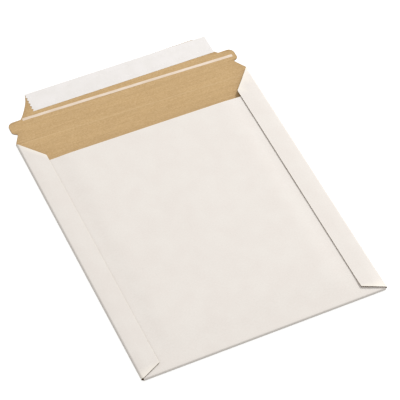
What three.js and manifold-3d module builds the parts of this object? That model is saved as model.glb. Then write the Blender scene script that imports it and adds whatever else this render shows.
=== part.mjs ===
// Rigid photo mailer: one white-faced paperboard blank folded round three sides into a flat
// pocket, with an open closing flap, tear tape, adhesive strip and release liner.
// Millimetres, +Z up. The mailer lies face up, +Y runs from the bottom fold towards the flap tip.
import * as THREE from 'three';
import { mergeVertices } from 'three/addons/utils/BufferGeometryUtils.js';
import Module from 'manifold-3d';

const wasm = await Module();
wasm.setup();

// Blank and pocket
const board = 0.8;
const pocketWidth = 323.85;
const pocketLength = 381;
const packHeight = 5.4;
const bottomHeight = 4.3;
const glueGap = 0.15;
const crownRise = 1.5;
const mouthSetback = 40.5;

// Side glue flaps
const sideFlapWidth = 28.2;
const mouthChamfer = 31.8;
const mouthRound = 5;
const bottomChamfer = 13.2;
const bottomRound = 1.5;

// Closing flap, drawn square to its own crease and then turned by the small error of the die cut
const flapSkew = THREE.MathUtils.degToRad(0.95);
const flapShift = 1.1;
const flapStart = 2.2;
const foldAllowance = 1.3;
const creaseSetback = 4.3;
const shoulderLength = 15.3;
const shoulderInset = 9.5;
const tabFloor = 16.7;
const tabReach = 2.4;
const tabTop = 36.7;
const tabRoundFar = 8;
const tabRoundNear = 5;
const lipBaseInset = 24.4;
const lipTopInset = 43.2;
const lipLength = 71;
const lipSwell = 3;
const lipCorner = 1.5;

// Strips on the inner face of the flap
const tapeWidth = 4;
const tapeThick = 0.12;
const tapeLeft = new THREE.Vector2(-138.6, 35.1);
const tapeRight = new THREE.Vector2(156.4, 29.4);
const glueThick = 0.15;
const glueStripWidth = 20;
const glueStripLength = 222;
const linerThick = 0.15;
const linerWidth = 29.8;
const linerLength = 256;
const linerAcross = 9;
const linerAlong = 58.9;
const linerSkew = THREE.MathUtils.degToRad(0.52);
const linerTeeth = 6;
const toothDepth = 1.4;

// Clearances and facet counts
const creaseGap = 0.3;
const edgeClear = 0.2;
const cutMargin = 1;
const rollFacets = 12;
const crownFacets = 8;
const arcFacets = 8;

// Derived places
const halfWidth = pocketWidth / 2;
const sideRadius = packHeight / 2;
const bottomRadius = bottomHeight / 2;
const flapUnderside = packHeight - board;
const frontTopAtSide = flapUnderside - glueGap;
const frontHalf = halfWidth - sideRadius - edgeClear;
const flapInner = halfWidth - sideFlapWidth;
const mouthEdge = pocketLength - mouthSetback;
const crownFoot = flapInner - cutMargin;
const crownShoulder = crownFoot - sideFlapWidth;
const creaseLine = pocketLength + creaseSetback;
const flapBaseHalf = halfWidth + foldAllowance;

const solidOf = (geometry) => {
  const clean = geometry.clone();
  clean.deleteAttribute('normal');
  clean.deleteAttribute('uv');
  const merged = mergeVertices(clean, 1e-4);
  const vertProperties = new Float32Array(merged.attributes.position.array);
  const triVerts = new Uint32Array(merged.index.array);
  return new wasm.Manifold(new wasm.Mesh({ numProp: 3, vertProperties, triVerts }));
};

const geometryOf = (solid) => {
  const mesh = solid.getMesh();
  const geometry = new THREE.BufferGeometry();
  geometry.setAttribute('position', new THREE.BufferAttribute(mesh.vertProperties, 3));
  geometry.setIndex(new THREE.BufferAttribute(mesh.triVerts, 1));
  return geometry;
};

const slab = (shape, bottom, top, curveSegments = arcFacets) => {
  const depth = top - bottom;
  const geometry = new THREE.ExtrudeGeometry(shape, { depth, bevelEnabled: false, curveSegments });
  return geometry.translate(0, 0, bottom);
};

const block = (x0, x1, y0, y1, z0, z1) => {
  const geometry = new THREE.BoxGeometry(x1 - x0, y1 - y0, z1 - z0);
  return solidOf(geometry.translate((x0 + x1) / 2, (y0 + y1) / 2, (z0 + z1) / 2));
};

const smooth = (from, to, value) => THREE.MathUtils.smoothstep(value, from, to);

// Back panel with both side folds and glue flaps, as one section drawn along the pack
const wrapSection = () => {
  const inner = sideRadius - board;
  const turn = halfWidth - sideRadius;
  const quarter = Math.PI / 2;
  const shape = new THREE.Shape();
  shape.moveTo(-turn, 0);
  shape.lineTo(turn, 0);
  shape.absarc(turn, sideRadius, sideRadius, -quarter, quarter, false);
  shape.lineTo(flapInner, packHeight);
  shape.lineTo(flapInner, flapUnderside);
  shape.lineTo(turn, flapUnderside);
  shape.absarc(turn, sideRadius, inner, quarter, -quarter, true);
  shape.lineTo(-turn, board);
  shape.absarc(-turn, sideRadius, inner, -quarter, -3 * quarter, true);
  shape.lineTo(-flapInner, flapUnderside);
  shape.lineTo(-flapInner, packHeight);
  shape.lineTo(-turn, packHeight);
  shape.absarc(-turn, sideRadius, sideRadius, quarter, 3 * quarter, false);
  return shape;
};

const wrapSolid = () => {
  const length = pocketLength - edgeClear;
  const options = { depth: length, bevelEnabled: false, curveSegments: rollFacets };
  const geometry = new THREE.ExtrudeGeometry(wrapSection(), options);
  geometry.rotateX(Math.PI / 2);
  return solidOf(geometry.translate(0, pocketLength, 0));
};

// Waste cut off the end of a glue flap: the slanted end with its rounded inner corner
const flapEndWaste = (side, end, away, drop, round) => {
  const outer = halfWidth + cutMargin;
  const slope = drop / sideFlapWidth;
  const run = Math.hypot(1, slope);
  const shape = new THREE.Shape();
  const point = (x, depth) => [side * x, end - away * depth];
  shape.moveTo(...point(outer, -slope * cutMargin));
  shape.lineTo(...point(flapInner + round / run, drop - (round * slope) / run));
  shape.quadraticCurveTo(...point(flapInner, drop), ...point(flapInner, drop + round));
  shape.lineTo(...point(flapInner - cutMargin, drop + round));
  shape.lineTo(...point(flapInner - cutMargin, -cutMargin * 2));
  shape.lineTo(...point(outer, -cutMargin * 2));
  return solidOf(slab(shape, sideRadius, packHeight + cutMargin));
};

// Height of the front panel's middle surface: low at its folds, flat and raised in the middle
const frontHeight = (x, y) => {
  const atFold = bottomHeight - board / 2;
  const atSide = frontTopAtSide - board / 2;
  const settle = smooth(bottomRadius, sideFlapWidth / 2, y);
  const across = 1 - smooth(crownShoulder, crownFoot, Math.abs(x));
  const along = smooth(bottomRadius, sideFlapWidth * 2, y);
  return atFold + (atSide - atFold) * settle + crownRise * across * along;
};

const spread = (from, to, steps) => {
  const step = (to - from) / steps;
  return Array.from({ length: steps + 1 }, (_, i) => from + i * step);
};

// Front panel and bottom fold as one sheet, mapped from a flat grid onto its folded path
const frontSolid = () => {
  const half = [0, ...spread(crownShoulder, crownFoot, crownFacets), frontHalf];
  const columns = [...half.slice(1).reverse().map((x) => -x), ...half.slice(1)];
  const leg = [{ y: bottomRadius + cutMargin }];
  const roll = spread(0, Math.PI, rollFacets).map((angle) => ({ angle }));
  const rise = spread(bottomRadius, sideFlapWidth * 2, crownFacets * 2).slice(1);
  const front = [...rise, mouthEdge].map((y) => ({ y, front: true }));
  const rows = [...leg, ...roll, ...front];
  const across = columns.length - 1;
  const along = rows.length - 1;
  const geometry = new THREE.BoxGeometry(1, 1, board, across, along, 1);
  const place = geometry.attributes.position;
  const radius = bottomRadius - board / 2;
  for (let i = 0; i < place.count; i += 1) {
    const x = columns[Math.round((place.getX(i) + 0.5) * across)];
    const row = rows[Math.round((place.getY(i) + 0.5) * along)];
    const out = place.getZ(i);
    if (row.front) {
      place.setXYZ(i, x, row.y, frontHeight(x, row.y) + out);
    } else if (row.angle !== undefined) {
      const reach = radius + out;
      const y = bottomRadius - reach * Math.sin(row.angle);
      place.setXYZ(i, x, y, bottomRadius - reach * Math.cos(row.angle));
    } else {
      place.setXYZ(i, x, row.y, board / 2 - out);
    }
  }
  return solidOf(geometry);
};

// Outline of the closing flap from below its crease to the tip, square to the crease
const flapOutline = () => {
  const base = flapBaseHalf;
  const neck = base - shoulderInset;
  const tab = base - tabReach;
  const lip = base - lipBaseInset;
  const tip = base - lipTopInset;
  const swell = tip + lipSwell;
  const bend = tabTop + (lipLength - tabTop) * 0.6;
  const shape = new THREE.Shape();
  shape.moveTo(-base, -sideRadius * 2);
  shape.lineTo(base, -sideRadius * 2);
  shape.lineTo(base, 0);
  shape.lineTo(neck, shoulderLength);
  shape.lineTo(tab - tabRoundNear, tabFloor);
  shape.quadraticCurveTo(tab, tabFloor, tab, tabFloor + tabRoundNear);
  shape.lineTo(tab, tabTop - tabRoundFar);
  shape.quadraticCurveTo(tab, tabTop, tab - tabRoundFar, tabTop);
  shape.lineTo(lip, tabTop);
  shape.quadraticCurveTo(swell, bend, tip, lipLength - lipCorner);
  shape.lineTo(tip - lipCorner, lipLength);
  shape.lineTo(-tip + lipCorner, lipLength);
  shape.lineTo(-tip, lipLength - lipCorner);
  shape.quadraticCurveTo(-swell, bend, -lip, tabTop);
  shape.lineTo(-tab + tabRoundFar, tabTop);
  shape.quadraticCurveTo(-tab, tabTop, -tab, tabTop - tabRoundFar);
  shape.lineTo(-tab, tabFloor + tabRoundNear);
  shape.quadraticCurveTo(-tab, tabFloor, -tab + tabRoundNear, tabFloor);
  shape.lineTo(-neck, shoulderLength);
  shape.lineTo(-base, 0);
  return shape;
};

const blankEnd = () => {
  const geometry = slab(flapOutline(), 0, board);
  return solidOf(geometry.rotateZ(flapSkew).translate(flapShift, pocketLength + flapStart, 0));
};

const pocketBoard = () => {
  const far = pocketWidth;
  const sides = [-1, 1];
  const corner = block(-frontHalf - edgeClear, frontHalf + edgeClear, -far, bottomRadius, -far, far);
  let wrap = wrapSolid().subtract(corner);
  for (const side of sides) {
    wrap = wrap.subtract(flapEndWaste(side, pocketLength, 1, mouthChamfer, mouthRound));
    wrap = wrap.subtract(flapEndWaste(side, 0, -1, bottomChamfer, bottomRound));
  }
  const tongue = blankEnd().intersect(
    block(-far, far, pocketLength - edgeClear, creaseLine - creaseGap / 2, -far, far),
  );
  return wrap.add(frontSolid()).add(tongue);
};

const closingFlap = () => {
  const far = pocketLength * 2;
  return blankEnd().intersect(block(-far, far, creaseLine + creaseGap / 2, far, -far, far));
};

const tearTape = () => {
  const run = tapeRight.clone().sub(tapeLeft);
  const middle = tapeLeft.clone().add(tapeRight).multiplyScalar(0.5);
  const geometry = new THREE.BoxGeometry(run.length(), tapeWidth, tapeThick);
  geometry.rotateZ(run.angle());
  return solidOf(geometry.translate(middle.x, pocketLength + middle.y, board + tapeThick / 2));
};

const adhesiveStrip = () => {
  const geometry = new THREE.BoxGeometry(glueStripLength, glueStripWidth, glueThick);
  geometry.rotateZ(linerSkew);
  return solidOf(geometry.translate(flapShift, pocketLength + linerAlong, board + glueThick / 2));
};

// Liner strip with one pinked end, longer than the glue and standing past the lip on one side
const releaseLiner = () => {
  const half = linerWidth / 2;
  const end = linerLength / 2;
  const pitch = linerWidth / linerTeeth;
  const shape = new THREE.Shape();
  shape.moveTo(end, -half);
  shape.lineTo(end, half);
  shape.lineTo(-end, half);
  for (let i = 1; i <= linerTeeth; i += 1) {
    shape.lineTo(-end + toothDepth, half - pitch * (i - 0.5));
    shape.lineTo(-end, half - pitch * i);
  }
  const bottom = board + glueThick;
  const geometry = slab(shape, bottom, bottom + linerThick);
  return solidOf(geometry.rotateZ(linerSkew).translate(linerAcross, pocketLength + linerAlong, 0));
};

// Glue film between a side glue flap and the front panel
const seamGlue = (side) => {
  const outer = frontHalf - sideRadius;
  const inner = crownFoot + cutMargin * 3;
  const near = sideFlapWidth;
  const far = mouthEdge - mouthRound;
  const x0 = side > 0 ? inner : -outer;
  const x1 = side > 0 ? outer : -inner;
  return block(x0, x1, near, far, frontTopAtSide, flapUnderside);
};

const finishes = {
  pocket_board: { color: 0xeee8e2, roughness: 0.62 },
  closing_flap: { color: 0xc8ab7d, roughness: 0.8 },
  tear_tape: { color: 0xf0dccd, roughness: 0.35 },
  adhesive_strip: { color: 0xe3d6a8, roughness: 0.3 },
  release_liner: { color: 0xf0ece9, roughness: 0.4 },
  left_seam_glue: { color: 0xd9cfae, roughness: 0.4 },
  right_seam_glue: { color: 0xd9cfae, roughness: 0.4 },
};

const pieces = {
  pocket_board: pocketBoard(),
  closing_flap: closingFlap(),
  tear_tape: tearTape(),
  adhesive_strip: adhesiveStrip(),
  release_liner: releaseLiner(),
  left_seam_glue: seamGlue(-1),
  right_seam_glue: seamGlue(1),
};

const geometries = Object.entries(pieces).map(([name, solid]) => [name, geometryOf(solid)]);

// The origin stands at the middle of the outline, on the surface that the mailer lies on
const outline = new THREE.Box3();
for (const [, geometry] of geometries) {
  geometry.computeBoundingBox();
  outline.union(geometry.boundingBox);
}
const middle = outline.getCenter(new THREE.Vector3());

const mailer = new THREE.Group();
mailer.name = 'rigid_photo_mailer';
for (const [name, geometry] of geometries) {
  geometry.translate(-middle.x, -middle.y, -outline.min.z);
  const material = new THREE.MeshStandardMaterial({ metalness: 0, ...finishes[name] });
  const mesh = new THREE.Mesh(geometry, material);
  mesh.name = name;
  mailer.add(mesh);
}

export default mailer;
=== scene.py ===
"""Photo-matched look of a rigid photo mailer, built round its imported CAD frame.

The mailer is one paperboard blank, white outside and kraft inside, folded round three sides
into a flat pocket. Its closing flap lies open, with a tear tape and a lined adhesive strip.
"""

import logging
import math
from dataclasses import dataclass, field
from enum import Enum
from typing import Callable

import bmesh
import bpy
from mathutils import Matrix, Vector
from mathutils.kdtree import KDTree

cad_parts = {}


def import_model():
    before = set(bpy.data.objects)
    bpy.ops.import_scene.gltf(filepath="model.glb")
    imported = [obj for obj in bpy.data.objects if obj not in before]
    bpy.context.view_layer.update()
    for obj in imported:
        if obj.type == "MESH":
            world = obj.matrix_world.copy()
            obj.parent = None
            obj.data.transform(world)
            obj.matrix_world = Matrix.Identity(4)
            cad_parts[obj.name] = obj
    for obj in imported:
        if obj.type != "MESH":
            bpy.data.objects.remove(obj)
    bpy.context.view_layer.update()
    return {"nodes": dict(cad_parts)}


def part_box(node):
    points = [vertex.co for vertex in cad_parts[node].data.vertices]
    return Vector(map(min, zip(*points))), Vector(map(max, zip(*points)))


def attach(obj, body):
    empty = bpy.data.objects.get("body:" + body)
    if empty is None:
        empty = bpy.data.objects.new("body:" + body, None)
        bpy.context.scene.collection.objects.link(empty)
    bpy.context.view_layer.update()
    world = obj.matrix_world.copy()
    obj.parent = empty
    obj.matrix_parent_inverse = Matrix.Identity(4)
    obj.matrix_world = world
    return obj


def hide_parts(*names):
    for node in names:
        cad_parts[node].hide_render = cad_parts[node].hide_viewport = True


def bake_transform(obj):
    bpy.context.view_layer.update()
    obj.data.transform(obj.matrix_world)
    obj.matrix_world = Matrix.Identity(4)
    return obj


Piece = bpy.types.Object
Socket = bpy.types.NodeSocket
Colour = tuple[float, ...]  # linear red, green, blue and alpha

LOG = logging.getLogger("mailer")
MM = 0.001  # one millimetre in metres
PHOTO_SIZE = 400  # width and height of the photograph in pixels
WIDENING = 0.0042  # how much wider than nominal the mailer is, as a share of its width
STRIP_LEFT = 162.0  # millimetres from the middle line to where the strips are widened from
SLACK = 0.02  # millimetres within which two places count as the same
RIM_STEP = 0.0002  # spacing in metres of the points that stand for the cut edges
SHARP_ANGLE = 40.0  # degrees above which an edge is shaded sharp
REST_PLACE = "rest_place"
CUT_RIM = "cut_rim"


class Body(Enum):
    """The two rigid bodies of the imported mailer."""

    POCKET = "pocket"
    FLAP = "flap"


class Slot(Enum):
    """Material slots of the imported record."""

    WHITE = "white_board"
    TAPE = "tear_film"
    LINER = "liner_paper"


class Element(Enum):
    """What a selection in edit mode is made of."""

    VERTS = "VERT"
    EDGES = "EDGE"
    FACES = "FACE"


class Side(Enum):
    """Left or right of the mailer's middle line, as the factor on x."""

    LEFT = -1
    RIGHT = 1


def select_only(obj: Piece) -> None:
    """Selects one object, deselects all others and makes it active.

    Args:
        obj: the object to work on.
    """
    bpy.ops.object.select_all(action="DESELECT")
    obj.select_set(True)
    bpy.context.view_layer.objects.active = obj


def open_edit(obj: Piece) -> None:
    """Enters one object's edit mode with nothing selected.

    Args:
        obj: the mesh object to shape.
    """
    select_only(obj)
    bpy.ops.object.mode_set(mode="EDIT")
    bpy.ops.mesh.select_all(action="DESELECT")


def close_edit() -> None:
    """Leaves edit mode."""
    bpy.ops.object.mode_set(mode="OBJECT")


def pick(kind: Element, test: Callable[[Vector], bool]) -> int:
    """Selects the elements of the edited mesh whose corners all pass a test.

    Args:
        kind: vertices, edges or faces.
        test: says of a place, in metres, whether it belongs.

    Returns:
        How many elements are selected.
    """
    bpy.ops.mesh.select_mode(type=kind.value)
    bpy.ops.mesh.select_all(action="DESELECT")
    mesh = bpy.context.edit_object.data
    shape = bmesh.from_edit_mesh(mesh)
    if kind is Element.VERTS:
        found = [v for v in shape.verts if test(v.co)]
    elif kind is Element.EDGES:
        found = [e for e in shape.edges if all(test(v.co) for v in e.verts)]
    else:
        found = [f for f in shape.faces if all(test(v.co) for v in f.verts)]
    for element in found:
        element.select_set(True)
    shape.select_flush_mode()
    bmesh.update_edit_mesh(mesh)
    return len(found)


def near(a: float, b: float, slack: float = SLACK * MM) -> bool:
    """Says whether two lengths are the same within a slack, by default in metres."""
    return abs(a - b) < slack


def smooth_step(low: float, high: float, value: float) -> float:
    """Rises smoothly from 0 at low to 1 at high.

    Args:
        low: where the rise starts.
        high: where it ends.
        value: where to read it.

    Returns:
        A number from 0 to 1.
    """
    t = min(max((value - low) / (high - low), 0.0), 1.0)
    return t * t * (3 - 2 * t)


def move_points(obj: Piece, mover: Callable[[Vector], Vector]) -> None:
    """Moves each vertex of a mesh to where a function sends it.

    Args:
        obj: the mesh object, in object mode.
        mover: takes a place and returns the new one.
    """
    for vertex in obj.data.vertices:
        vertex.co = mover(vertex.co.copy())
    obj.data.update()


def widen(obj: Piece, left: float) -> None:
    """Stretches a piece sideways from the mailer's left fold.

    Args:
        obj: the mesh object, in object mode.
        left: x of the left fold in metres.
    """
    move_points(obj, lambda p: Vector((p.x + (p.x - left) * WIDENING, p.y, p.z)))


def apply_modifiers(obj: Piece) -> None:
    """Applies all modifiers of an object in order.

    Args:
        obj: the mesh object, in object mode.
    """
    select_only(obj)
    for modifier in list(obj.modifiers):
        bpy.ops.object.modifier_apply(modifier=modifier.name)


def shade_smooth(obj: Piece) -> None:
    """Shades a piece smooth, apart from its sharp edges."""
    select_only(obj)
    bpy.ops.object.shade_smooth_by_angle(angle=math.radians(SHARP_ANGLE))


def remember_places(obj: Piece) -> None:
    """Stores each vertex's place at rest, so that a pattern stays on the board as it bends.

    Args:
        obj: the finished piece.
    """
    layer = obj.data.attributes.new(REST_PLACE, "FLOAT_VECTOR", "POINT")
    for index, vertex in enumerate(obj.data.vertices):
        layer.data[index].vector = vertex.co


def add_grid(
    name: str, cells: tuple[int, int], place: Vector, size: tuple[float, float],
    turn: float = 0.0,
) -> Piece:
    """Adds a flat grid of unit size, which its object's scale and turn lay out.

    Args:
        name: the piece's name.
        cells: how many cells it has along x and y.
        place: its middle in metres.
        size: its size along x and y in metres.
        turn: its turn about z in radians.

    Returns:
        The grid's object.
    """
    bpy.ops.object.select_all(action="DESELECT")
    bpy.ops.mesh.primitive_grid_add(
        x_subdivisions=cells[0], y_subdivisions=cells[1], size=1.0, location=place
    )
    grid = bpy.context.object
    grid.name = grid.data.name = name
    grid.scale = (*size, 1.0)
    grid.rotation_euler = (0, 0, turn)
    return grid


def finish_strip(obj: Piece, corner: Vector, thickness: float) -> None:
    """Applies a flat strip's place, widens it as the board is and gives it its thickness.

    Args:
        obj: the strip, still one flat sheet.
        corner: middle of the mailer's bottom fold, in metres.
        thickness: how far it grows upwards, in millimetres.
    """
    bpy.ops.object.transform_apply(location=True, rotation=True, scale=True)
    widen(obj, corner.x - STRIP_LEFT * MM)
    solidify = obj.modifiers.new("thickness", "SOLIDIFY")
    solidify.thickness = thickness * MM
    solidify.offset = 1.0
    apply_modifiers(obj)
    remember_places(obj)
    shade_smooth(obj)


def boundary_points(mesh: bpy.types.Mesh) -> list[Vector]:
    """Lists points along the open edges of a sheet.

    Args:
        mesh: the sheet's mesh.

    Returns:
        Places along every edge that only one face uses.
    """
    uses: dict[tuple[int, int], int] = {}
    for face in mesh.polygons:
        for key in face.edge_keys:
            uses[key] = uses.get(key, 0) + 1
    points = []
    for (first, second), count in uses.items():
        if count != 1:
            continue
        a, b = mesh.vertices[first].co, mesh.vertices[second].co
        parts = max(int((b - a).length / RIM_STEP), 1)
        points += [a.lerp(b, i / parts) for i in range(parts + 1)]
    return points


def srgb(red: float, green: float, blue: float) -> Colour:
    """Turns a colour read off a screen, 0 to 255 each, into linear values.

    Args:
        red: red from 0 to 255.
        green: green from 0 to 255.
        blue: blue from 0 to 255.

    Returns:
        Linear red, green and blue, and an alpha of 1.
    """

    def linear(value: float) -> float:
        """Undoes the screen's curve for one channel."""
        share = value / 255
        return share / 12.92 if share <= 0.04045 else ((share + 0.055) / 1.055) ** 2.4

    return (linear(red), linear(green), linear(blue), 1.0)


class NodeBench:
    """A material under construction: its node tree and the shader that all is wired to."""

    def __init__(self, name: str) -> None:
        """Starts a material with one Principled shader.

        Args:
            name: the material's name.
        """
        self.material = bpy.data.materials.new(name)
        self.material.use_nodes = True
        self.tree = self.material.node_tree
        self.shader = next(n for n in self.tree.nodes if n.type == "BSDF_PRINCIPLED")

    def add(self, kind: str, **settings: object) -> bpy.types.Node:
        """Adds a node and sets its properties.

        Args:
            kind: the node's type name.
            settings: property values by name.

        Returns:
            The new node.
        """
        node = self.tree.nodes.new(kind)
        for key, value in settings.items():
            setattr(node, key, value)
        return node

    def wire(self, source: Socket, target: Socket) -> None:
        """Links one socket to another."""
        self.tree.links.new(source, target)

    def place(self, on_blank: bool) -> Socket:
        """Gives the place that patterns are laid out on.

        Args:
            on_blank: read the stored place at rest in place of Object coordinates.

        Returns:
            The vector socket.
        """
        if on_blank:
            return self.add("ShaderNodeAttribute", attribute_name=REST_PLACE).outputs["Vector"]
        return self.add("ShaderNodeTexCoord").outputs["Object"]

    def noise(
        self, place: Socket, scale: float, stretch: tuple[float, float, float],
        detail: float = 3.0,
    ) -> Socket:
        """Adds a noise pattern.

        Args:
            place: the vector that it reads.
            scale: features for each metre.
            stretch: factor on each axis, below 1 for longer features.
            detail: how many finer layers it has.

        Returns:
            The pattern's value socket.
        """
        mapping = self.add("ShaderNodeMapping")
        mapping.inputs["Scale"].default_value = stretch
        self.wire(place, mapping.inputs["Vector"])
        noise = self.add("ShaderNodeTexNoise")
        noise.inputs["Scale"].default_value = scale
        noise.inputs["Detail"].default_value = detail
        self.wire(mapping.outputs["Vector"], noise.inputs["Vector"])
        return noise.outputs["Fac"]

    def ramp(self, value: Socket, low: float, high: float, dark: Colour, light: Colour) -> Socket:
        """Turns a value into a colour between two colours.

        Args:
            value: the value socket.
            low: the value that gives the dark colour.
            high: the value that gives the light colour.
            dark: linear colour with alpha.
            light: linear colour with alpha.

        Returns:
            The colour socket.
        """
        ramp = self.add("ShaderNodeValToRGB")
        first, last = ramp.color_ramp.elements
        first.position, first.color = low, dark
        last.position, last.color = high, light
        self.wire(value, ramp.inputs["Fac"])
        return ramp.outputs["Color"]

    def blend(self, share: Socket | float, a: Socket, b: Socket, mode: str = "MIX") -> Socket:
        """Mixes two colours.

        Args:
            share: how much of the second colour, a socket or a number.
            a: the first colour.
            b: the second colour.
            mode: the blend type.

        Returns:
            The mixed colour socket.
        """
        mix = self.add("ShaderNodeMix", data_type="RGBA", blend_type=mode)
        if isinstance(share, float):
            mix.inputs[0].default_value = share
        else:
            self.wire(share, mix.inputs[0])
        self.wire(a, mix.inputs[6])
        self.wire(b, mix.inputs[7])
        return mix.outputs[2]

    def reckon(self, operation: str, *terms: Socket | float) -> Socket:
        """Does one step of arithmetic.

        Args:
            operation: the Math node's operation.
            terms: its inputs in order, sockets or numbers.

        Returns:
            The result's socket.
        """
        step = self.add("ShaderNodeMath", operation=operation)
        for socket, term in zip(step.inputs, terms):
            if isinstance(term, float):
                socket.default_value = term
            else:
                self.wire(term, socket)
        return step.outputs[0]

    def fall_off(self, value: Socket, start: float, end: float, top: float) -> Socket:
        """Falls smoothly from a top value to 0 as its input grows.

        Args:
            value: the input.
            start: where the fall starts.
            end: where it reaches 0.
            top: the value before the fall.

        Returns:
            The value socket.
        """
        fade = self.add("ShaderNodeMapRange", interpolation_type="SMOOTHSTEP")
        for socket, number in zip(fade.inputs[1:5], (start, end, top, 0.0)):
            socket.default_value = number
        self.wire(value, fade.inputs[0])
        return fade.outputs[0]

    def near_cut(self, strength: float) -> Socket:
        """Gives 0 on the open board, rising to a strength at a cut edge.

        Args:
            strength: the value at the edge itself.

        Returns:
            The value socket.
        """
        rim = self.add("ShaderNodeAttribute", attribute_name=CUT_RIM)
        return self.reckon("MULTIPLY", rim.outputs["Fac"], strength)

    def spot(self, place: Socket, centre: Vector, radius: float, strength: float) -> Socket:
        """Gives a strength inside a small ball and 0 outside it.

        Args:
            place: the place that it reads.
            centre: the ball's middle.
            radius: its radius in metres.
            strength: the value at its middle.

        Returns:
            The value socket.
        """
        away = self.add("ShaderNodeVectorMath", operation="DISTANCE")
        away.inputs[1].default_value = centre
        self.wire(place, away.inputs[0])
        return self.fall_off(away.outputs["Value"], radius * 0.4, radius, strength)

    def flat(self, colour: Colour) -> Socket:
        """Gives one colour as a socket, to mix others with.

        Args:
            colour: the colour.

        Returns:
            The colour socket.
        """
        node = self.add("ShaderNodeRGB")
        node.outputs[0].default_value = colour
        return node.outputs[0]

    def coat(self, colour: Socket, roughness: float, specular: float = 0.5) -> None:
        """Gives the shader its colour pattern and its gloss.

        Args:
            colour: the colour socket.
            roughness: the shader's roughness.
            specular: the shader's specular level.
        """
        self.wire(colour, self.shader.inputs["Base Color"])
        self.shader.inputs["Roughness"].default_value = roughness
        self.shader.inputs["Specular IOR Level"].default_value = specular

    def bump(self, height: Socket, distance: float, strength: float) -> None:
        """Roughens the surface.

        Args:
            height: the height pattern.
            distance: its depth in metres.
            strength: how much of it shows.
        """
        bump = self.add("ShaderNodeBump")
        bump.inputs["Distance"].default_value = distance
        bump.inputs["Strength"].default_value = strength
        self.wire(height, bump.inputs["Height"])
        self.wire(bump.outputs["Normal"], self.shader.inputs["Normal"])


@dataclass(frozen=True)
class CoatedWhite:
    """Clay-coated white outside of the board: smooth, faintly mottled, satin, with torn nicks and
    a painted highlight along its cut edges.

    Each nick is a place on the blank and a radius, in millimetres.
    """

    corner: Vector
    light: Colour = srgb(241, 235, 229)
    dark: Colour = srgb(239, 232, 226)
    nick: Colour = srgb(168, 150, 126)
    nicks: tuple[tuple[float, float, float, float], ...] = (
        (134.4, 324.3, 4.9, 0.9),
        (134.6, 39.2, 5.3, 0.9),
        (-133.6, 163.2, 5.4, 0.7),
        (-133.7, 46.0, 5.4, 0.8),
        (-133.6, 26.8, 5.4, 0.7),
    )
    nick_share: float = 0.8
    # painted highlight: a pale cream band along the cut edges of the white face, standing in for
    # lit edges
    painted_edge_shading: Colour = srgb(250, 243, 232)
    painted_edge_shading_share: float = 0.9
    roughness: float = 0.55

    def material(self) -> bpy.types.Material:
        """Builds the finish.

        Returns:
            The new material.
        """
        bench = NodeBench("coated_white_board")
        place = bench.place(on_blank=True)
        clouds = bench.noise(place, 45.0, (1.0, 1.0, 1.0))
        fibres = bench.noise(place, 900.0, (0.45, 1.0, 1.0), 4.0)
        colour = bench.ramp(clouds, 0.35, 0.65, self.dark, self.light)
        grain = bench.ramp(fibres, 0.3, 0.7, srgb(250, 250, 249), srgb(255, 255, 255))
        grainy = bench.blend(1.0, colour, grain, "MULTIPLY")
        # paints a highlight along the cut edges
        edged = bench.blend(bench.near_cut(self.painted_edge_shading_share), grainy, bench.flat(self.painted_edge_shading))
        for x, y, z, radius in self.nicks:
            centre = self.corner + Vector((x, y, z)) * MM
            share = bench.spot(place, centre, radius * MM, self.nick_share)
            edged = bench.blend(share, edged, bench.flat(self.nick))
        bench.coat(edged, self.roughness, 0.35)
        bench.bump(fibres, 0.00004, 0.5)
        return bench.material


@dataclass(frozen=True)
class BareKraft:
    """Uncoated kraft inside of the board: brown, fibrous, with streaks along the machine way, and
    a painted shade along its cut edges.
    """

    corner: Vector
    light: Colour = srgb(216, 184, 138)
    dark: Colour = srgb(198, 164, 115)
    # painted shade: a darker brown band along the cut edges of the kraft face, standing in for
    # shadow beside the edges
    painted_edge_shading: Colour = srgb(150, 118, 78)
    painted_edge_shading_share: float = 0.75
    score_at: tuple[float, float] = (-75.0, 379.4)
    score_slope: float = -0.019
    score_core: float = 0.3
    score_border: float = 1.2
    score_share: float = 0.3
    score_colour: Colour = srgb(222, 193, 150)

    def material(self) -> bpy.types.Material:
        """Builds the finish.

        Returns:
            The new material.
        """
        bench = NodeBench("bare_kraft_board")
        place = bench.place(on_blank=True)
        fibres = bench.noise(place, 900.0, (0.5, 1.0, 1.0), 3.0)
        clouds = bench.noise(place, 60.0, (1.0, 1.6, 1.0))
        streaks = bench.noise(place, 420.0, (0.03, 1.0, 1.0), 2.0)
        base = bench.ramp(fibres, 0.3, 0.7, self.dark, self.light)
        shade = bench.ramp(clouds, 0.3, 0.7, srgb(251, 251, 251), srgb(255, 255, 255))
        lines = bench.ramp(streaks, 0.35, 0.65, srgb(247, 246, 245), srgb(255, 255, 255))
        mixed = bench.blend(1.0, bench.blend(1.0, base, shade, "MULTIPLY"), lines, "MULTIPLY")
        scored = bench.blend(self.score_mark(bench, place), mixed, bench.flat(self.score_colour))
        # paints shade along the cut edges
        edged = bench.blend(bench.near_cut(self.painted_edge_shading_share), scored, bench.flat(self.painted_edge_shading))
        bench.coat(edged, 0.85, 0.2)
        bench.bump(fibres, 0.00008, 0.6)
        return bench.material

    def score_mark(self, bench: NodeBench, place: Socket) -> Socket:
        """Draws the faint scored line that runs across beside the flap's crease.

        Args:
            bench: the material under construction.
            place: the place that it reads.

        Returns:
            The line's share at each place.
        """
        split = bench.add("ShaderNodeSeparateXYZ")
        bench.wire(place, split.inputs[0])
        start = self.corner + Vector((*self.score_at, 0.0)) * MM
        slant = bench.reckon(
            "MULTIPLY_ADD", split.outputs["X"], -self.score_slope,
            self.score_slope * start.x - start.y,
        )
        away = bench.reckon("ABSOLUTE", bench.reckon("ADD", split.outputs["Y"], slant))
        return bench.fall_off(
            away, self.score_core * MM, self.score_border * MM, self.score_share
        )


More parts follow.
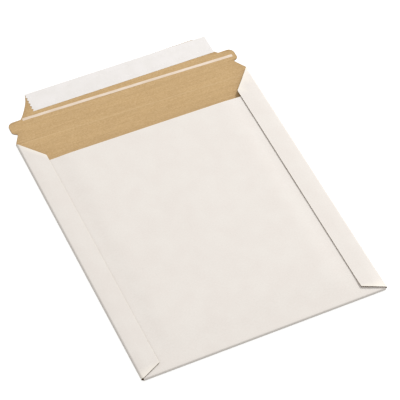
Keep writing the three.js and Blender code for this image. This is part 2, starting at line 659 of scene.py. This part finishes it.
@dataclass(frozen=True)
class CutEdge:
    """Raw cut edge of the board: compressed grey-brown pulp in layers."""

    light: Colour = srgb(112, 90, 64)
    dark: Colour = srgb(80, 62, 42)

    def material(self) -> bpy.types.Material:
        """Builds the finish.

        Returns:
            The new material.
        """
        bench = NodeBench("cut_board_edge")
        layers = bench.noise(bench.place(on_blank=True), 700.0, (0.2, 0.2, 6.0), 4.0)
        colour = bench.ramp(layers, 0.35, 0.65, self.dark, self.light)
        bench.coat(colour, 0.9)
        bench.bump(layers, 0.00006, 0.5)
        return bench.material


@dataclass(frozen=True)
class LinerPaper:
    """Silicone-coated release paper: nearly white, faintly glossy."""

    light: Colour = srgb(241, 237, 235)
    dark: Colour = srgb(237, 233, 230)

    def material(self) -> bpy.types.Material:
        """Builds the finish.

        Returns:
            The new material.
        """
        bench = NodeBench("release_paper")
        place = bench.place(on_blank=True)
        clouds = bench.noise(place, 70.0, (1.0, 1.0, 1.0))
        grain = bench.noise(place, 800.0, (1.0, 1.0, 1.0), 3.0)
        colour = bench.ramp(clouds, 0.35, 0.65, self.dark, self.light)
        bench.coat(colour, 0.42)
        bench.bump(grain, 0.00002, 0.4)
        return bench.material


@dataclass(frozen=True)
class Film:
    """A thin strip of film or dried glue with a faint cloudiness."""

    name: str
    light: Colour
    dark: Colour
    roughness: float

    def material(self) -> bpy.types.Material:
        """Builds the finish.

        Returns:
            The new material.
        """
        bench = NodeBench(self.name)
        clouds = bench.noise(bench.place(on_blank=False), 160.0, (0.3, 1.0, 1.0), 3.0)
        colour = bench.ramp(clouds, 0.35, 0.65, self.dark, self.light)
        bench.coat(colour, self.roughness)
        bench.bump(clouds, 0.00003, 0.4)
        return bench.material


@dataclass(frozen=True)
class SideFit:
    """How one side of the folded blank differs from the plain shape, in millimetres.

    Its slanted ends are shifted at the mouth and raised at the bottom fold, its lower corner
    springs up, and its shoulder ends a little way outside the pocket.
    """

    mouth_shift: float
    bottom_rise: float
    spring: float
    shoulder: float


@dataclass(frozen=True)
class FlapShape:
    """Outline of the closing flap, from its shoulders over the tear tabs to the end of its lip.

    Lengths are millimetres. The whole outline is turned by the small error of its die cut, and
    its rows begin at first_row, where the crease zone ends.
    """

    half: float
    skew: float = math.radians(0.95)
    shift: float = 1.1
    start: float = 2.2
    shoulder_length: float = 15.3
    shoulder_inset: float = 9.5
    first_row: float = 12.8
    tab_floor: float = 16.7
    tab_middle: float = 27.7
    tab_top: float = 36.7
    tab_reach: float = 2.4
    tab_cut_back: float = 1.1
    tab_round_low: float = 5.6
    tab_round_top: float = 7.5
    tab_angles_low: tuple[float, ...] = (25, 50, 72, 90)
    tab_angles_top: tuple[float, ...] = (0, 20, 40, 58, 74, 88)
    lip_base_inset: float = 23.1
    lip_top_inset: float = 42.7
    lip_length: float = 71.0
    lip_step: float = 0.04
    lip_flare: float = 0.6
    lip_swell: float = 3.0
    lip_bend: float = 0.6
    lip_round: float = 1.5
    lip_steps: int = 8

    def shoulder_at(self, y: float, side: Side) -> float:
        """Reads how far out a shoulder's edge lies in the crease zone.

        Args:
            y: distance past the pocket's end, in millimetres.
            side: left or right.

        Returns:
            Its distance from the middle line, in millimetres.
        """
        s, c, k = math.sin(self.skew), math.cos(self.skew), side.value
        base = self.start + k * self.half * s
        rise = c * self.shoulder_length - k * self.shoulder_inset * s
        t = max((y - base) / rise, 0.0)
        u = k * (self.half - self.shoulder_inset * t)
        return k * (self.shift + c * u - s * self.shoulder_length * t)

    def rows(self) -> list[tuple[float, float]]:
        """Lists the flap's cross rows.

        Returns:
            Distance from the flap's base and half width, in millimetres, for each row.
        """
        return self.shoulder_rows() + self.tab_rows() + self.lip_edge_rows()

    def shoulder_rows(self) -> list[tuple[float, float]]:
        """Lists the rows of the shoulders, which narrow to the flap's neck."""
        slope = self.shoulder_inset / self.shoulder_length
        return [(v, self.half - slope * v) for v in (self.first_row, self.shoulder_length)]

    def tab_rows(self) -> list[tuple[float, float]]:
        """Lists the rows of the two tear tabs, with rounded corners.

        Returns:
            Distance from the flap's base and half width for each row.
        """
        tab = self.half - self.tab_reach
        low, top = self.tab_round_low, self.tab_round_top
        rows = [(self.tab_floor, tab - low)]
        for angle in self.tab_angles_low:
            a = math.radians(angle)
            rows.append((self.tab_floor + low * (1 - math.cos(a)), tab - low * (1 - math.sin(a))))
        rows.append((self.tab_middle, tab))
        for angle in self.tab_angles_top:
            a = math.radians(angle)
            rows.append((self.tab_top - top * (1 - math.sin(a)), tab - top * (1 - math.cos(a))))
        return rows

    def lip_edge_rows(self) -> list[tuple[float, float]]:
        """Lists the rows of the lip, whose sides curve in to its nearly square end.

        Returns:
            Distance from the flap's base and half width for each row.
        """
        lip = self.half - self.lip_base_inset
        tip = self.half - self.lip_top_inset
        swell = tip + self.lip_swell
        bend = self.tab_top + (self.lip_length - self.tab_top) * self.lip_bend
        last = self.lip_length - self.lip_round
        rows = [(self.tab_top + self.lip_step, lip + self.lip_flare)]
        for i in range(1, self.lip_steps + 1):
            t = i / self.lip_steps
            v = (1 - t) ** 2 * self.tab_top + 2 * t * (1 - t) * bend + t * t * last
            u = (1 - t) ** 2 * lip + 2 * t * (1 - t) * swell + t * t * tip
            rows.append((v, u))
        nip = self.lip_round / 3
        return rows + [(self.lip_length - nip, tip - nip), (self.lip_length, tip - self.lip_round)]


@dataclass
class Blank:
    """The whole paperboard blank, folded into the pocket with its flap laid open.

    Lengths are millimetres, measured from the middle of the bottom fold, as in the CAD source.
    The board is its outer surface first, and gets its thickness inwards at the end. Along each cut
    edge runs a row of faces as wide as the band, over which the painted edge highlight on the
    white and the painted edge shade on the kraft fade.
    """

    corner: Vector
    board: float = 0.8
    width: float = 323.85
    length: float = 381.0
    pack_height: float = 5.4
    bottom_height: float = 4.3
    glue_gap: float = 0.15
    crown_rise: float = 1.2
    crown_margin: float = 1.0
    mouth_setback: float = 40.7
    side_flap: float = 28.2
    mouth_chamfer: float = 31.8
    mouth_round: float = 1.5
    bottom_chamfer: float = 13.2
    fold_allowance: float = 1.3
    crease_first: float = 0.3
    crease_from: float = 1.3
    crease_to: float = 7.3
    crease_last: float = 9.0
    band: float = 0.9
    left: SideFit = SideFit(mouth_shift=-0.6, bottom_rise=0.5, spring=0.4, shoulder=0.9)
    right: SideFit = SideFit(mouth_shift=1.1, bottom_rise=1.0, spring=1.1, shoulder=1.6)
    right_relax: float = 1.3
    edge_spring: float = 0.3
    spring_reach: float = 39.6
    spring_at_fold: float = 0.3
    across: int = 40
    along: int = 28
    roll_steps: int = 12
    front_rows: int = 14
    crease_rows: int = 12
    obj: Piece | None = field(default=None, repr=False)

    @property
    def side_radius(self) -> float:
        """Outer radius of the side folds."""
        return self.pack_height / 2

    @property
    def bottom_radius(self) -> float:
        """Outer radius of the bottom fold."""
        return self.bottom_height / 2

    @property
    def turn(self) -> float:
        """Half width of the flat back panel, where the side folds start to turn."""
        return self.width / 2 - self.side_radius

    @property
    def inner(self) -> float:
        """Half the distance between the inner edges of the two glue flaps."""
        return self.width / 2 - self.side_flap

    @property
    def mouth(self) -> float:
        """Where the front panel ends."""
        return self.length - self.mouth_setback

    def at(self, x: float, y: float, z: float = 0.0) -> Vector:
        """Turns a place on the blank, in millimetres, into metres in the row frame."""
        return self.corner + Vector((x, y, z)) * MM

    def on_blank(self, place: Vector) -> Vector:
        """Turns a place in the row frame back into millimetres on the blank."""
        return (place - self.corner) / MM

    def build(self) -> None:
        """Folds the blank from one sheet and gives it its thickness."""
        self.lay_back_panel()
        open_edit(self.obj)
        for side in Side:
            self.roll_side(side)
        self.fold_front_up()
        self.grow_flap()
        for side in Side:
            self.cut_flap_ends(side)
        close_edit()
        move_points(self.obj, self.crown_front)
        move_points(self.obj, self.spring_corners)
        widen(self.obj, self.at(-self.width / 2, 0).x)
        move_points(self.obj, self.relax_right_fold)
        self.face_outwards()
        self.mark_cut_edges()
        self.thicken()

    def face_outwards(self) -> None:
        """Joins doubled points and turns every face of the sheet to the white outside."""
        open_edit(self.obj)
        bpy.ops.mesh.select_all(action="SELECT")
        bpy.ops.mesh.remove_doubles(threshold=1e-6)
        bpy.ops.mesh.normals_make_consistent(inside=False)
        close_edit()
        lowest = min(self.obj.data.polygons, key=lambda f: f.center.z)
        if lowest.normal.z > 0:
            open_edit(self.obj)
            bpy.ops.mesh.select_all(action="SELECT")
            bpy.ops.mesh.flip_normals()
            close_edit()

    def lay_back_panel(self) -> None:
        """Lays the flat back panel as a grid whose lower side is the mailer's back."""
        low, high = self.bottom_radius, self.length
        self.obj = add_grid(
            "mailer_board", (self.across, self.along), self.at(0, (low + high) / 2),
            (2 * self.turn * MM, (high - low) * MM),
        )
        bpy.ops.object.transform_apply(location=True, rotation=True, scale=True)
        last = (1 - 2 / self.across) * self.turn
        for side in Side:
            open_edit(self.obj)
            edge = self.at(side.value * last, 0).x
            pick(Element.VERTS, lambda p: near(p.x, edge))
            step = side.value * (self.turn - self.band - last) * MM
            bpy.ops.transform.translate(value=(step, 0, 0))
            close_edit()

    def pick_back_end(self, y: float) -> None:
        """Selects the flat back panel's edge at one of its ends.

        Args:
            y: the end's place in metres.
        """
        wide = (self.turn + SLACK) * MM
        pick(
            Element.EDGES,
            lambda p: near(p.y, y) and near(p.z, self.corner.z)
            and abs(p.x - self.corner.x) < wide,
        )

    def roll_side(self, side: Side) -> None:
        """Rolls a side fold up from the back panel and lays its glue flap inwards.

        Args:
            side: left or right.
        """
        edge = self.at(side.value * self.turn, 0).x
        pick(Element.EDGES, lambda p: near(p.x, edge) and near(p.z, self.corner.z))
        bpy.ops.mesh.spin(
            steps=self.roll_steps, angle=math.pi, dupli=False, use_auto_merge=False,
            center=self.at(side.value * self.turn, 0, self.side_radius),
            axis=(0, side.value, 0),
        )
        reach = self.side_flap - self.side_radius - self.band
        for length in (reach / 2, reach / 2, self.band):
            bpy.ops.mesh.extrude_region_move(
                TRANSFORM_OT_translate={"value": (-side.value * length * MM, 0, 0)}
            )

    def fold_front_up(self) -> None:
        """Rolls the bottom fold and lays the front panel over the back one, up to its mouth."""
        self.pick_back_end(self.at(0, self.bottom_radius).y)
        bpy.ops.mesh.spin(
            steps=self.roll_steps, angle=math.pi, dupli=False, use_auto_merge=False,
            center=self.at(0, self.bottom_radius, self.bottom_radius), axis=(1, 0, 0),
        )
        rising = 2 * self.side_flap
        steps = range(1, self.front_rows + 1)
        low_part = (rising - self.bottom_radius) / self.front_rows
        high_part = (self.mouth - rising - self.band) / self.front_rows
        stations = [self.bottom_radius] + [self.bottom_radius + low_part * i for i in steps]
        stations += [rising + high_part * i for i in steps] + [self.mouth]
        for last, station in zip(stations, stations[1:]):
            bpy.ops.mesh.extrude_region_move(
                TRANSFORM_OT_translate={"value": (0, (station - last) * MM, 0)}
            )

    def fit(self, side: Side) -> SideFit:
        """Gives the small differences of one side."""
        return self.right if side is Side.RIGHT else self.left

    def grow_flap(self) -> None:
        """Grows the crease zone and the closing flap, row by row, from the back panel's end."""
        flap = FlapShape(self.width / 2 + self.fold_allowance)
        self.pick_back_end(self.at(0, self.length).y)
        step = (self.crease_to - self.crease_from) / self.crease_rows
        crease = [self.crease_first]
        crease += [self.crease_from + step * i for i in range(self.crease_rows + 1)]
        crease += [self.crease_last]
        middle, half = Vector((0.0, self.length)), self.turn
        for y in crease:
            left, right = (
                min(flap.shoulder_at(y, side), self.width / 2 + self.fit(side).shoulder)
                for side in Side
            )
            new_middle = Vector(((right - left) / 2, self.length + y))
            new_half = (right + left) / 2
            self.grow_row(middle, half, new_middle, new_half)
            middle, half = new_middle, new_half
        origin = Vector((flap.shift, self.length + flap.start))
        upward = Vector((-math.sin(flap.skew), math.cos(flap.skew)))
        for index, (v, new_half) in enumerate(flap.rows()):
            new_middle = origin + upward * v
            if flap.tab_floor < v <= flap.tab_top:
                new_half -= flap.tab_cut_back / 2
                new_middle = new_middle + Vector((flap.tab_cut_back / 2, 0))
            self.grow_row(middle, half, new_middle, new_half)
            if index == 0:
                bpy.ops.transform.rotate(
                    value=-flap.skew, orient_axis="Z",
                    center_override=self.at(new_middle.x, new_middle.y),
                )
            middle, half = new_middle, new_half

    def grow_row(self, middle: Vector, half: float, new_middle: Vector, new_half: float) -> None:
        """Extrudes the selected row of edges to its next place and width.

        Args:
            middle: middle of the present row, in millimetres.
            half: half its width.
            new_middle: middle of the next row.
            new_half: half the next row's width.
        """
        step = (new_middle - middle) * MM
        share = new_half / half
        bpy.ops.mesh.extrude_region_move(TRANSFORM_OT_translate={"value": (step.x, step.y, 0)})
        bpy.ops.transform.resize(
            value=(share, share, 1), center_override=self.at(new_middle.x, new_middle.y)
        )

    def cut_flap_ends(self, side: Side) -> None:
        """Cuts both slanted ends of a side glue flap and rounds its corner at the mouth.

        Args:
            side: left or right.
        """
        k = side.value
        top = self.length + self.fit(side).mouth_shift
        low = self.fit(side).bottom_rise

        def on_side_flap(place: Vector) -> bool:
            """Says whether a point lies on the glue flap or on the upper half of its fold.

            Args:
                place: the point, in metres.

            Returns:
                Whether it does.
            """
            p = self.on_blank(place)
            if k * p.x < self.turn:
                return k * p.x > self.inner - SLACK and p.z > self.pack_height - SLACK
            return p.z > self.side_radius - SLACK

        for end, away, drop in ((top, 1, self.mouth_chamfer), (low, -1, self.bottom_chamfer)):
            pick(Element.FACES, on_side_flap)
            across = Vector((-k * drop, away * self.side_flap, 0)).normalized()
            plane = self.at(k * self.width / 2, end)
            for shift, clear in ((0.0, True), (self.band, False)):
                bpy.ops.mesh.bisect(
                    plane_co=plane - across * shift * MM, plane_no=across,
                    clear_outer=clear, clear_inner=False, use_fill=False,
                )
        corner = self.at(k * self.inner, top - self.mouth_chamfer)
        found = pick(
            Element.VERTS,
            lambda p: near(p.x, corner.x) and near(p.y, corner.y)
            and p.z > self.at(0, 0, self.side_radius).z,
        )
        LOG.info("%s flap corner points to round: %d", side.name.lower(), found)
        bpy.ops.mesh.bevel(offset=self.mouth_round * MM, segments=3, affect="VERTICES")

    def crown_front(self, place: Vector) -> Vector:
        """Lifts the middle of the front panel as it lies over the side flaps' glue lines.

        Args:
            place: a point of the sheet, in metres.

        Returns:
            Where it goes, which is the same place for a point off the front panel.
        """
        p = self.on_blank(place)
        level = near(p.z, self.bottom_height, SLACK)
        if not level or p.y < self.bottom_radius or p.y > self.mouth + SLACK:
            return place
        foot = self.inner - self.crown_margin
        shoulder = foot - self.side_flap
        at_fold = self.bottom_height
        at_side = self.pack_height - self.board - self.glue_gap
        settle = smooth_step(self.bottom_radius, self.side_flap / 2, p.y)
        across = 1 - smooth_step(shoulder, foot, abs(p.x))
        along = smooth_step(self.bottom_radius, self.side_flap * 2, p.y)
        height = at_fold + (at_side - at_fold) * settle + self.crown_rise * across * along
        return self.at(p.x, p.y, height)

    def spring_corners(self, place: Vector) -> Vector:
        """Lets the side flaps' lower ends and inner edges stand up a little off the front.

        Args:
            place: a point of the sheet, in metres.

        Returns:
            Where it goes, which is the same place for a point off the side flaps.
        """
        p = self.on_blank(place)
        if not near(p.z, self.pack_height, SLACK) or abs(p.x) < self.inner - SLACK:
            return place
        towards = 1 - smooth_step(0, self.spring_reach, p.y)
        inwards = smooth_step(self.turn, self.inner, abs(p.x))
        rise = self.fit(Side.RIGHT if p.x > 0 else Side.LEFT).spring
        share = self.spring_at_fold + (1 - self.spring_at_fold) * inwards
        lift = rise * towards * share + self.edge_spring * inwards
        return self.at(p.x, p.y, p.z + lift)

    def relax_right_fold(self, place: Vector) -> Vector:
        """Lets the right fold stand out further than the left one, up to the flap's crease.

        Args:
            place: a point of the sheet, in metres.

        Returns:
            Where it goes, further out the nearer it is to the fold.
        """
        p = self.on_blank(place)
        share = min(max((p.x - self.inner) / self.side_flap, 0.0), 1.0)
        fade = 1 - smooth_step(self.length, self.length + self.crease_last, p.y)
        out = self.right_relax * share * fade
        up = 0.0
        if p.z > self.board:
            up = out * smooth_step(self.length - self.mouth_chamfer, self.length, p.y)
        return self.at(p.x + out, p.y + up, p.z)

    def mark_cut_edges(self) -> None:
        """Marks how close each point of the sheet lies to a cut edge, from 0 to 1."""
        points = boundary_points(self.obj.data)
        tree = KDTree(len(points))
        for index, point in enumerate(points):
            tree.insert(point, index)
        tree.balance()
        layer = self.obj.data.attributes.new(CUT_RIM, "FLOAT", "POINT")
        for index, vertex in enumerate(self.obj.data.vertices):
            away = tree.find(vertex.co)[2] / MM
            layer.data[index].value = max(1 - away / self.band, 0.0)

    def thicken(self) -> None:
        """Gives the sheet its board thickness inwards, with slots for inside and cut edge."""
        solidify = self.obj.modifiers.new("board", "SOLIDIFY")
        solidify.thickness = self.board * MM
        solidify.offset = -1.0
        solidify.use_even_offset = True
        solidify.material_offset = 1
        solidify.material_offset_rim = 2
        for _ in range(3):
            self.obj.data.materials.append(None)
        apply_modifiers(self.obj)
        remember_places(self.obj)
        shade_smooth(self.obj)

    def dress(self) -> None:
        """Gives the outside, the inside and the cut edge their finishes."""
        finishes = (CoatedWhite(self.corner), BareKraft(self.corner), CutEdge())
        for index, finish in enumerate(finishes):
            self.obj.data.materials[index] = finish.material()

    def join(self) -> None:
        """Stands the board, which spans pocket and flap, in place of both CAD nodes, hiding them
        and baking its place into its points.
        """
        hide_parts("pocket_board", "closing_flap")
        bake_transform(self.obj)


@dataclass
class ReleaseLiner:
    """The paper liner over the adhesive, pinked at its left end."""

    corner: Vector
    length: float = 257.5
    width: float = 30.0
    across: float = 8.2
    along: float = 439.8
    skew: float = math.radians(0.3)
    base: float = 0.95
    thickness: float = 0.15
    held_width: float = 20.0
    settling: float = 0.14
    teeth: int = 6
    tooth_depth: float = 2.0
    cells: int = 48
    obj: Piece | None = field(default=None, repr=False)

    def build(self) -> None:
        """Makes the strip from a grid, with its teeth."""
        self.obj = add_grid(
            "release_paper", (self.cells, 2 * self.teeth),
            self.corner + Vector((self.across, self.along, self.base)) * MM,
            (self.length * MM, self.width * MM), self.skew,
        )
        self.cut_teeth()
        self.settle_borders()
        finish_strip(self.obj, self.corner, self.thickness)

    def settle_borders(self) -> None:
        """Lets the strip's long borders, past the adhesive, lie down on the board."""
        inner = self.held_width / self.width / 2

        def settle(place: Vector) -> Vector:
            """Lowers a point by how far it lies past the adhesive."""
            drop = smooth_step(inner, (inner + 0.5) / 2, abs(place.y))
            return Vector((place.x, place.y, place.z - self.settling * MM * drop))

        move_points(self.obj, settle)

    def cut_teeth(self) -> None:
        """Pulls every other point of the left end inwards to make the pinked cut."""
        depth = self.tooth_depth / self.length
        pitch = 1.0 / (2 * self.teeth)
        for vertex in self.obj.data.vertices:
            step = round((vertex.co.y + 0.5) / pitch)
            if vertex.co.x < -0.5 + 1e-4 and step % 2 == 1:
                vertex.co.x += depth

    def dress(self) -> None:
        """Gives the liner its paper finish."""
        self.obj.data.materials.append(LinerPaper().material())

    def join(self) -> None:
        """Ties the liner to the flap, in place of its CAD node."""
        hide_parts("release_liner")
        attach(self.obj, Body.FLAP.value)


@dataclass
class TearTape:
    """The film strip across the flap, bowed a little, that tears it open when pulled."""

    corner: Vector
    left: tuple[float, float] = (-138.2, 416.75)
    right: tuple[float, float] = (156.4, 411.1)
    bow: float = 0.35
    width: float = 4.0
    base: float = 0.8
    thickness: float = 0.12
    cells: tuple[int, int] = (60, 4)
    obj: Piece | None = field(default=None, repr=False)

    def build(self) -> None:
        """Lays the strip from one tab to the other with a slight bow."""
        start = self.corner + Vector((*self.left, self.base)) * MM
        end = self.corner + Vector((*self.right, self.base)) * MM
        along = end - start
        self.obj = add_grid(
            "tear_tape_strip", self.cells, (start + end) / 2,
            (along.length, self.width * MM), math.atan2(along.y, along.x),
        )
        bow = self.bow / self.width
        move_points(self.obj, lambda p: Vector((p.x, p.y + bow * (1 - 4 * p.x * p.x), p.z)))
        finish_strip(self.obj, self.corner, self.thickness)

    def dress(self) -> None:
        """Gives the tape its film finish."""
        film = Film("tear_tape_film", srgb(241, 224, 206), srgb(228, 207, 184), roughness=0.35)
        self.obj.data.materials.append(film.material())

    def join(self) -> None:
        """Ties the tape to the flap, in place of its CAD node."""
        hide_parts("tear_tape")
        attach(self.obj, Body.FLAP.value)


@dataclass
class Strips:
    """The CAD nodes that stay as they are: the adhesive and the seam glue."""

    nodes: dict[str, Piece]

    def dress(self) -> None:
        """Gives each strip its finish."""
        tack = Film("tacky_adhesive", srgb(232, 220, 180), srgb(222, 208, 165), roughness=0.25)
        seam = Film("dried_seam_glue", srgb(221, 209, 178), srgb(210, 196, 162), roughness=0.4)
        tacky, dried = tack.material(), seam.material()
        finishes = {"adhesive_strip": tacky, "left_seam_glue": dried, "right_seam_glue": dried}
        for name, material in finishes.items():
            materials = self.nodes[name].data.materials
            materials.clear()
            materials.append(material)
            LOG.info("dressed %s", name)


@dataclass
class Studio:
    """Camera, floor, lights and background.

    Angles are degrees. The camera's distance, aim and nudge are millimetres, and the lamp's
    place and size are metres.
    """

    corner: Vector
    focal_px: float = 1925.0
    elevation: float = 52.599
    azimuth: float = 30.072
    roll: float = 5.475
    distance: float = 2389.5
    aim: tuple[float, float] = (14.42, 211.57)
    nudge: tuple[float, float] = (0.15, 0.72)
    key_energy: float = 325.0
    key_place: tuple[float, float, float] = (4.5, 3.6, 3.96)
    key_size: float = 2.0
    sky: float = 0.6
    sky_colour: Colour = (1.0, 0.99, 0.975, 1.0)
    floor_colour: Colour = (0.5, 0.5, 0.49, 1.0)
    floor_glow: float = 0.78
    floor_size: float = 12.0
    floor_level: float = -0.0003

    def camera(self) -> None:
        """Stands the camera where the photograph was taken from."""
        yaw, tilt, roll = (math.radians(a) for a in (self.azimuth, self.elevation, self.roll))
        ahead = Vector(
            (math.sin(yaw) * math.cos(tilt), math.cos(yaw) * math.cos(tilt), -math.sin(tilt))
        )
        right = ahead.cross(Vector((0, 0, 1))).normalized()
        up = right.cross(ahead)
        across = math.cos(roll) * right + math.sin(roll) * up
        above = -math.sin(roll) * right + math.cos(roll) * up
        data = bpy.data.cameras.new("photo_camera")
        data.sensor_width = 36.0
        data.lens = self.focal_px / PHOTO_SIZE * data.sensor_width
        data.clip_start, data.clip_end = 0.05, 50.0
        camera = bpy.data.objects.new("photo_camera", data)
        bpy.context.scene.collection.objects.link(camera)
        target = self.corner + Vector((self.aim[0], self.aim[1], 0)) * MM
        target += (across * self.nudge[0] + above * self.nudge[1]) * MM
        turn = Matrix((across, above, -ahead)).transposed()
        stand = Matrix.Translation(target - ahead * self.distance * MM)
        camera.matrix_world = stand @ turn.to_4x4()
        bpy.context.scene.camera = camera

    def floor(self) -> None:
        """Lays a pale floor that the camera sees as white, apart from the mailer's shadow."""
        bpy.ops.object.select_all(action="DESELECT")
        bpy.ops.mesh.primitive_plane_add(size=self.floor_size, location=(0, 0, self.floor_level))
        floor = bpy.context.object
        floor.name = floor.data.name = "studio_floor"
        bench = NodeBench("pale_floor")
        bench.shader.inputs["Base Color"].default_value = self.floor_colour
        bench.shader.inputs["Roughness"].default_value = 1.0
        bench.shader.inputs["Specular IOR Level"].default_value = 0.0
        glow = bench.add("ShaderNodeEmission")
        glow.inputs["Strength"].default_value = self.floor_glow
        both = bench.add("ShaderNodeAddShader")
        bench.wire(bench.shader.outputs[0], both.inputs[0])
        bench.wire(glow.outputs[0], both.inputs[1])
        path = bench.add("ShaderNodeLightPath").outputs
        seen = bench.reckon("MAXIMUM", path["Is Camera Ray"], path["Is Glossy Ray"])
        choose = bench.add("ShaderNodeMixShader")
        bench.wire(seen, choose.inputs[0])
        bench.wire(bench.shader.outputs[0], choose.inputs[1])
        bench.wire(both.outputs[0], choose.inputs[2])
        output = next(n for n in bench.tree.nodes if n.type == "OUTPUT_MATERIAL")
        bench.wire(choose.outputs[0], output.inputs["Surface"])
        floor.data.materials.append(bench.material)

    def key_light(self) -> None:
        """Hangs one soft lamp to the right of and behind the mailer."""
        data = bpy.data.lights.new("key_lamp", "AREA")
        data.shape, data.size = "DISK", self.key_size
        data.energy = self.key_energy
        lamp = bpy.data.objects.new("key_lamp", data)
        bpy.context.scene.collection.objects.link(lamp)
        lamp.location = self.key_place
        lamp.rotation_euler = (-Vector(self.key_place)).to_track_quat("-Z", "Y").to_euler()

    def surround(self) -> None:
        """Lights the scene evenly from all round and shows white behind it."""
        world = bpy.data.worlds.new("studio_air")
        world.use_nodes = True
        tree = world.node_tree
        tree.nodes.clear()
        output = tree.nodes.new("ShaderNodeOutputWorld")
        soft = tree.nodes.new("ShaderNodeBackground")
        soft.inputs["Strength"].default_value = self.sky
        soft.inputs["Color"].default_value = self.sky_colour
        white = tree.nodes.new("ShaderNodeBackground")
        white.inputs["Strength"].default_value = 1.0
        white.inputs["Color"].default_value = (1, 1, 1, 1)
        path = tree.nodes.new("ShaderNodeLightPath")
        mix = tree.nodes.new("ShaderNodeMixShader")
        tree.links.new(path.outputs["Is Camera Ray"], mix.inputs[0])
        tree.links.new(soft.outputs[0], mix.inputs[1])
        tree.links.new(white.outputs[0], mix.inputs[2])
        tree.links.new(mix.outputs[0], output.inputs["Surface"])
        bpy.context.scene.world = world
        bpy.context.scene.view_settings.view_transform = "Standard"

    def build(self) -> None:
        """Sets up all of the studio."""
        self.camera()
        self.floor()
        self.key_light()
        self.surround()


def pocket_origin() -> Vector:
    """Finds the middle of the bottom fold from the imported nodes.

    Returns:
        Its place in the row frame, in metres.
    """
    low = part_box("pocket_board")[0]
    left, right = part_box("left_seam_glue")[0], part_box("right_seam_glue")[1]
    return Vector(((left.x + right.x) / 2, low.y, low.z))


def main() -> None:
    """Loads the frame and builds the mailer's pieces and the studio in order."""
    logging.basicConfig(level=logging.INFO, format="%(name)s: %(message)s")
    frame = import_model()
    corner = pocket_origin()
    Studio(corner).build()
    for piece in (Blank(corner), ReleaseLiner(corner), TearTape(corner)):
        piece.build()
        piece.dress()
        piece.join()
        LOG.info("%s: %d faces", piece.obj.name, len(piece.obj.data.polygons))
    Strips(frame["nodes"]).dress()


if __name__ == "__main__":
    main()
